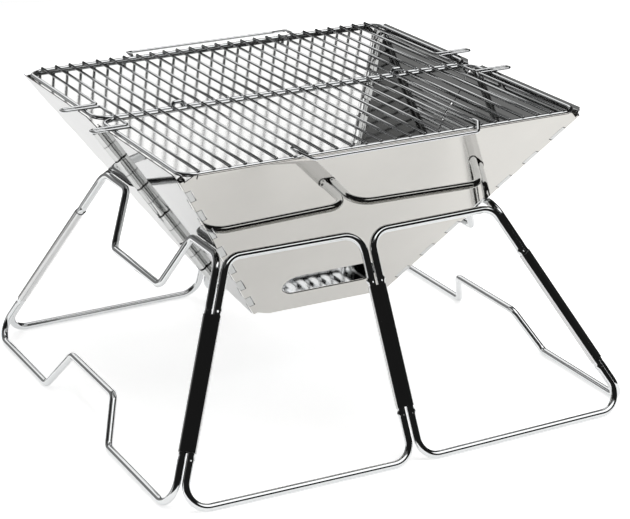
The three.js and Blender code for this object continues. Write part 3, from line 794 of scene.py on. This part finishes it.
def sleeve(name, line_a, line_b, inner_side):
    """A strip wrapped round two wires, with its seam on the side that faces the firebox."""
    low = at_height(line_a, SLEEVE_LOW_Z).lerp(at_height(line_b, SLEEVE_LOW_Z), 0.5)
    high = at_height(line_a, SLEEVE_HIGH_Z).lerp(at_height(line_b, SLEEVE_HIGH_Z), 0.5)
    along = (high - low).normalized()
    across = at_height(line_b, SLEEVE_ACROSS_Z) - at_height(line_a, SLEEVE_ACROSS_Z)
    across -= along * across.dot(along)
    half = across.length / 2
    across.normalize()
    face = along.cross(across)
    if face.dot(inner_side) < 0:
        face.negate()
    radius = SLEEVE_BORE + SLEEVE_WALL / 2
    profile = [((SLEEVE_SEAM / 2, radius), (0, 1), False)]
    for side in (1, -1):
        for i in range(SLEEVE_STEPS + 1):
            a = side * math.pi / 2 - math.pi * i / SLEEVE_STEPS
            n = (math.cos(a), math.sin(a))
            profile.append(((side * half + radius * n[0], radius * n[1]), n, i < SLEEVE_STEPS))
    profile.append(((-SLEEVE_SEAM / 2, radius), (0, 1), False))
    sheet = Sheet()
    rows = []
    for (x, y), (nx, ny), _ in profile:
        normal = across * nx + face * ny
        rows.append([sheet.point(p + across * x + face * y, normal) for p in (low, high)])
    for (p, q), (r, s), (_, _, smooth) in zip(rows, rows[1:], profile):
        sheet.face((p, q, s, r), smooth)
    shell = Shell()
    sheet.into(shell, SLEEVE_WALL)
    shell.piece(name + "_wrap", name, "sleeve_sheet", SLEEVE)


# -------------------------------------------------------------------- grates
def weld(shell, centre, size):
    """A small flattened bead where a rod is welded to the frame."""
    rings, sides = 4, 8
    points = [centre + V(0, 0, size[2])]
    for i in range(1, rings):
        a = math.pi * i / rings
        for k in range(sides):
            b = 2 * math.pi * k / sides
            unit = (math.sin(a) * math.cos(b), math.sin(a) * math.sin(b), math.cos(a))
            points.append(centre + V(*(s * c for s, c in zip(size, unit))))
    points.append(centre - V(0, 0, size[2]))
    faces = [[0, 1 + k, 1 + (k + 1) % sides] for k in range(sides)]
    for i in range(rings - 2):
        for k in range(sides):
            a, b = 1 + i * sides + k, 1 + i * sides + (k + 1) % sides
            faces.append([a, a + sides, b + sides, b])
    base = 1 + (rings - 2) * sides
    last = len(points) - 1
    faces += [[last, base + (k + 1) % sides, base + k] for k in range(sides)]
    shell.add(points, faces, True)


def grate(name, sy, bumps):
    out, inner = sy * GRATE_OUT_Y, sy * GRATE_IN_Y
    z = FRAME_Z
    corners = [
        (V(-GRATE_HALF_X, out, z), GRATE_BEND),
        (V(GRATE_HALF_X, out, z), GRATE_BEND),
        (V(GRATE_HALF_X, inner, z), GRATE_BEND),
    ]
    for x0 in bumps:
        for dx, dz, r in HUMP:
            corners.append((V(x0 + dx, inner, z + dz), r))
    corners.append((V(-GRATE_HALF_X, inner, z), GRATE_BEND))
    shell = Shell()
    tube(shell, bent_path(corners, True), FRAME_WIRE, FRAME_SIDES, UP, True)
    out_end, in_end = out + sy * ROD_OUT, inner - sy * ROD_OUT
    for i in range(1, ROD_COUNT + 1):
        x = -GRATE_HALF_X + i * ROD_PITCH
        start, stop = V(x, out_end, ROD_Z), V(x, in_end, ROD_Z)
        if 1 < i < ROD_COUNT:
            path = [start, start.lerp(stop, 0.5), stop]
        else:
            reach = math.copysign(EAR_REACH, x)
            ear = [
                (start, 0),
                (V(x, sy * (EAR_Y + EAR_HALF), ROD_Z), EAR_ROOT),
                (V(reach, sy * (EAR_Y + EAR_HALF), ROD_Z), EAR_TIP),
                (V(reach, sy * (EAR_Y - EAR_HALF), ROD_Z), EAR_TIP),
                (V(x, sy * (EAR_Y - EAR_HALF), ROD_Z), EAR_ROOT),
                (stop, 0),
            ]
            path = bent_path(ear, False)
        tube(shell, path, ROD_WIRE, ROD_SIDES, UP, False)
        for y in (out, inner):
            weld(shell, V(x, y, FRAME_Z + FRAME_WIRE - WELD_BITE), WELD)
    shell.piece(name + "_rods", name, "grate_wire", RODS)


def grate_handle(name, sy):
    z = ROD_Z + ROD_WIRE + HANDLE_WIRE + HANDLE_GAP
    corners = []
    for sx in (-1, 1):
        side = [
            (V(sx * HANDLE_HALF_X, sy * (GRATE_OUT_Y - HANDLE_TAIL), z), 0),
            (V(sx * HANDLE_HALF_X, sy * (GRATE_OUT_Y + HANDLE_OUT), z), HANDLE_BENDS[0]),
            (V(sx * (HANDLE_HALF_X - HANDLE_NARROW), sy * HANDLE_Y, z - HANDLE_DROP), HANDLE_BENDS[1]),
        ]
        corners += side if sx < 0 else side[::-1]
    shell = Shell()
    tube(shell, bent_path(corners, False), HANDLE_WIRE, HANDLE_SIDES, UP, False)
    shell.piece(name + "_wire", name, "grate_wire", RODS)


# -------------------------------------------------------------------- plates
def plate_outline(z):
    gap = PLATE_GAP + SHEET / 2
    x = wall_x(z) - gap * math.hypot(1, SLOPE_X)
    y = wall_y(z) - gap * math.hypot(1, SLOPE_Y)
    c = PLATE_CUT
    return [(x, -y + c), (x, y - c), (x - c, y), (-x + c, y),
            (-x, y - c), (-x, -y + c), (-x + c, -y), (x - c, -y)]


def charcoal_grate():
    sheet, shell = Sheet(), Shell()
    holes = []
    for column in CHARCOAL_COLUMNS:
        for row in CHARCOAL_ROWS:
            slot = stadium(CHARCOAL_SLOT["half"], CHARCOAL_SLOT["radius"], CHARCOAL_SLOT["sides"], row, column)
            holes.append([(x, y) for y, x in slot])
    fill(sheet, lambda x, y: V(x, y, CHARCOAL_Z + PLATE / 2), UP, plate_outline(CHARCOAL_Z), holes)
    sheet.into(shell, PLATE)
    shell.piece("charcoal_grate_plate", "charcoal_grate", "plate_steel", PLATE_STEEL)


def ash_plate():
    sheet, shell = Sheet(), Shell()
    outer = plate_outline(ASH_Z)
    inset = [(x - math.copysign(ASH_INSET, x), y - math.copysign(ASH_INSET, y)) for x, y in outer]
    floor_z = ASH_Z + PLATE / 2
    loops = fill(sheet, lambda x, y: V(x, y, floor_z), UP, inset)
    ring = loops[0]
    rows = []
    n = len(ring)
    for k in range(1, ASH_STEPS + 1):
        turn = math.radians(90) * k / ASH_STEPS
        row = []
        for (x, y), number in zip(outer, ring):
            p = sheet.points[number]
            away = V(math.copysign(1, x), math.copysign(1, y), 0)
            q = p + away * (ASH_BEND * math.sin(turn)) + UP * (ASH_BEND * (1 - math.cos(turn)))
            row.append(sheet.point(q, UP * math.cos(turn) - away.normalized() * math.sin(turn)))
        rows.append(row)
    rows.append([sheet.point(sheet.points[i] + UP * ASH_RISE, sheet.normals[i]) for i in rows[-1]])
    for upper, lower in zip([ring] + rows, rows):
        for i in range(n):
            j = (i + 1) % n
            sheet.face((upper[i], upper[j], lower[j], lower[i]), True)
    sheet.into(shell, PLATE)
    shell.piece("ash_plate_pan", "ash_plate", "plate_steel", PLATE_STEEL)


# ------------------------------------------------------------------ assembly
end_loop("stand_loop_left", -1)
end_loop("stand_loop_right", 1)
for sx in (-1, 1):
    side_name = "left" if sx < 0 else "right"
    for sy in (-1, 1):
        end_name = "front" if sy < 0 else "back"
        place = end_name + "_" + side_name
        long_loop("stand_loop_" + place, sx, sy)
        sleeve("sleeve_" + place, end_line(sx, sy), long_line(sx, sy), V(-sx, -sy, INWARD_DROP))
        hinge_pin("hinge_pin_" + place, corner_axis(sx, sy), CORNER_HINGE["pin"])
        half_panel("panel_" + side_name + "_" + end_name, sx, sy)
    hinge_pin("hinge_pin_" + side_name + "_middle", middle_axis(sx), MIDDLE_HINGE["pin"])
for sy in (-1, 1):
    place = "front" if sy < 0 else "back"
    sleeve("sleeve_" + place + "_middle", centre_line(-1, sy), centre_line(1, sy), V(0, -sy, INWARD_DROP))
    # The front and back panels take differently toned copies of the same steel: painted reflection.
    long_panel("panel_" + place, sy, MIRROR_FRONT_PAINTED_REFLECTION if sy < 0 else MIRROR_BACK_PAINTED_REFLECTION)
    grate("grate_" + place, sy, [HUMP_X, -HUMP_X] if sy > 0 else [])
    grate_handle("grate_handle_" + place, sy)
charcoal_grate()
ash_plate()

# -------------------------------------------------------------------- studio
FLOOR_CENTRE, FLOOR_RADIUS = (0.25, 0.5), 1.15   # metres
FLOOR_SIDES = 96
FLOOR_DROP = 0.3 * MM
FLOOR_GLOW = 0.55


def floor():
    mesh = bpy.data.meshes.new("studio_floor")
    ring = [(FLOOR_CENTRE[0] + FLOOR_RADIUS * math.cos(2 * math.pi * i / FLOOR_SIDES),
             FLOOR_CENTRE[1] + FLOOR_RADIUS * math.sin(2 * math.pi * i / FLOOR_SIDES), -FLOOR_DROP)
            for i in range(FLOOR_SIDES)]
    mesh.from_pydata(ring, [], [list(range(FLOOR_SIDES))])
    made = bpy.data.objects.new("studio_floor", mesh)
    bpy.context.scene.collection.objects.link(made)
    material = bpy.data.materials.new("studio_floor")
    material.use_nodes = True
    shader = material.node_tree.nodes["Principled BSDF"]
    shader.inputs["Base Color"].default_value = (0.9, 0.9, 0.895, 1)
    shader.inputs["Emission Color"].default_value = (1, 1, 1, 1)
    shader.inputs["Emission Strength"].default_value = FLOOR_GLOW
    shader.inputs["Roughness"].default_value = 0.9
    shader.inputs["Specular IOR Level"].default_value = 0.1
    mesh.materials.append(material)


# Lights on the sky: direction, cosines at the two ends of their soft edge, and strength.
SOFTBOX = {"toward": (0.302, -0.302, 0.905), "edge": (0.86, 0.9), "level": 1.7}
SIDE_WALL = {"toward": (-0.95, 0.3, 0.0), "edge": (0.93, 0.98), "level": 0.8}
BACK_WALL = {"toward": (-0.48, 0.84, 0.24), "edge": (0.78, 0.97), "level": 0.26}
BACK_PANEL = {"toward": (0.164, 0.829, 0.535), "edge": (0.925, 0.955), "level": 1.3}
# Brightness of the rest by height, from straight down (-1) to straight up (1).
SURROUNDINGS = [(-1.0, 0.8), (-0.5, 0.7), (-0.32, 0.03), (0.0, 0.02),
                (0.3, 0.015), (0.76, 0.015), (0.82, 0.12), (1.0, 0.4)]


def world():
    """What the metal reflects: a soft box, a side wall and two lights behind in dark surroundings.

    The camera itself sees plain white round the floor.
    """
    made = bpy.data.worlds.new("studio")
    bpy.context.scene.world = made
    made.use_nodes = True
    tree = made.node_tree
    tree.nodes.clear()
    link = tree.links.new
    out = node(tree, "ShaderNodeOutputWorld")
    where = node(tree, "ShaderNodeTexCoord")
    split = node(tree, "ShaderNodeSeparateXYZ")
    link(where.outputs["Generated"], split.inputs["Vector"])
    height = node(tree, "ShaderNodeMapRange")
    height.inputs["From Min"].default_value = -1.0
    link(split.outputs["Z"], height.inputs["Value"])
    ramp = node(tree, "ShaderNodeValToRGB")
    link(height.outputs["Result"], ramp.inputs["Fac"])
    elements = ramp.color_ramp.elements
    while len(elements) < len(SURROUNDINGS):
        elements.new(0.5)
    for element, (z, value) in zip(elements, SURROUNDINGS):
        element.position = (z + 1) / 2
        element.color = (value, value, value, 1)
    total = ramp.outputs["Color"]
    for light in (SOFTBOX, SIDE_WALL, BACK_WALL, BACK_PANEL):
        facing = node(tree, "ShaderNodeVectorMath", operation="DOT_PRODUCT")
        link(where.outputs["Generated"], facing.inputs[0])
        facing.inputs[1].default_value = light["toward"]
        glow = node(tree, "ShaderNodeMapRange", interpolation_type="SMOOTHSTEP")
        glow.inputs["From Min"].default_value = light["edge"][0]
        glow.inputs["From Max"].default_value = light["edge"][1]
        glow.inputs["To Max"].default_value = light["level"]
        link(facing.outputs["Value"], glow.inputs["Value"])
        most = node(tree, "ShaderNodeMath", operation="MAXIMUM")
        link(total, most.inputs[0])
        link(glow.outputs["Result"], most.inputs[1])
        total = most.outputs["Value"]
    seen = node(tree, "ShaderNodeBackground", Color=(1, 1, 1, 1), Strength=1.0)
    lit = node(tree, "ShaderNodeBackground", Color=(1, 1, 1, 1))
    link(total, lit.inputs["Strength"])
    rays = node(tree, "ShaderNodeLightPath")
    mix = node(tree, "ShaderNodeMixShader")
    link(rays.outputs["Is Camera Ray"], mix.inputs["Fac"])
    link(lit.outputs["Background"], mix.inputs[1])
    link(seen.outputs["Background"], mix.inputs[2])
    link(mix.outputs["Shader"], out.inputs["Surface"])


LAMPS = [(0.0, 0.0, 0.45), (48.0, 30.0, 0.38), (48.0, -75.0, 0.38), (50.0, 165.0, 0.38)]
LAMP_SPREAD = 60.0


def lamps():
    """Wide soft lamps: tilt from overhead and turn in degrees, and strength."""
    for i, (tilt, turn, strength) in enumerate(LAMPS):
        data = bpy.data.lights.new("studio_lamp_%d" % i, "SUN")
        data.energy = strength
        data.angle = math.radians(LAMP_SPREAD)
        made = bpy.data.objects.new("studio_lamp_%d" % i, data)
        made.rotation_euler = (math.radians(tilt), 0, math.radians(turn))
        made.visible_glossy = False
        bpy.context.scene.collection.objects.link(made)


CAMERA_AT = V(-818.22, -1701.82, 809.17) * MM
CAMERA_YAW, CAMERA_PITCH, CAMERA_ROLL = 0.4581, -0.3520, -0.0203     # radians
CAMERA_FOCAL = 2081.98 / 630                     # in picture widths
SENSOR = 36.0


def camera():
    forward = V(math.sin(CAMERA_YAW) * math.cos(CAMERA_PITCH), math.cos(CAMERA_YAW) * math.cos(CAMERA_PITCH),
                math.sin(CAMERA_PITCH))
    right = forward.cross(UP).normalized()
    up = right.cross(forward)
    c, s = math.cos(CAMERA_ROLL), math.sin(CAMERA_ROLL)
    x_axis, y_axis = right * c + up * s, up * c - right * s
    data = bpy.data.cameras.new("camera")
    data.sensor_width = SENSOR
    data.lens = SENSOR * CAMERA_FOCAL
    data.clip_start, data.clip_end = 0.05, 60.0
    made = bpy.data.objects.new("camera", data)
    turn = Matrix((x_axis, y_axis, -forward)).transposed().to_4x4()
    made.matrix_world = Matrix.Translation(CAMERA_AT) @ turn
    bpy.context.scene.collection.objects.link(made)
    bpy.context.scene.camera = made


floor()
world()
lamps()
camera()
bpy.context.scene.view_settings.view_transform = "Standard"
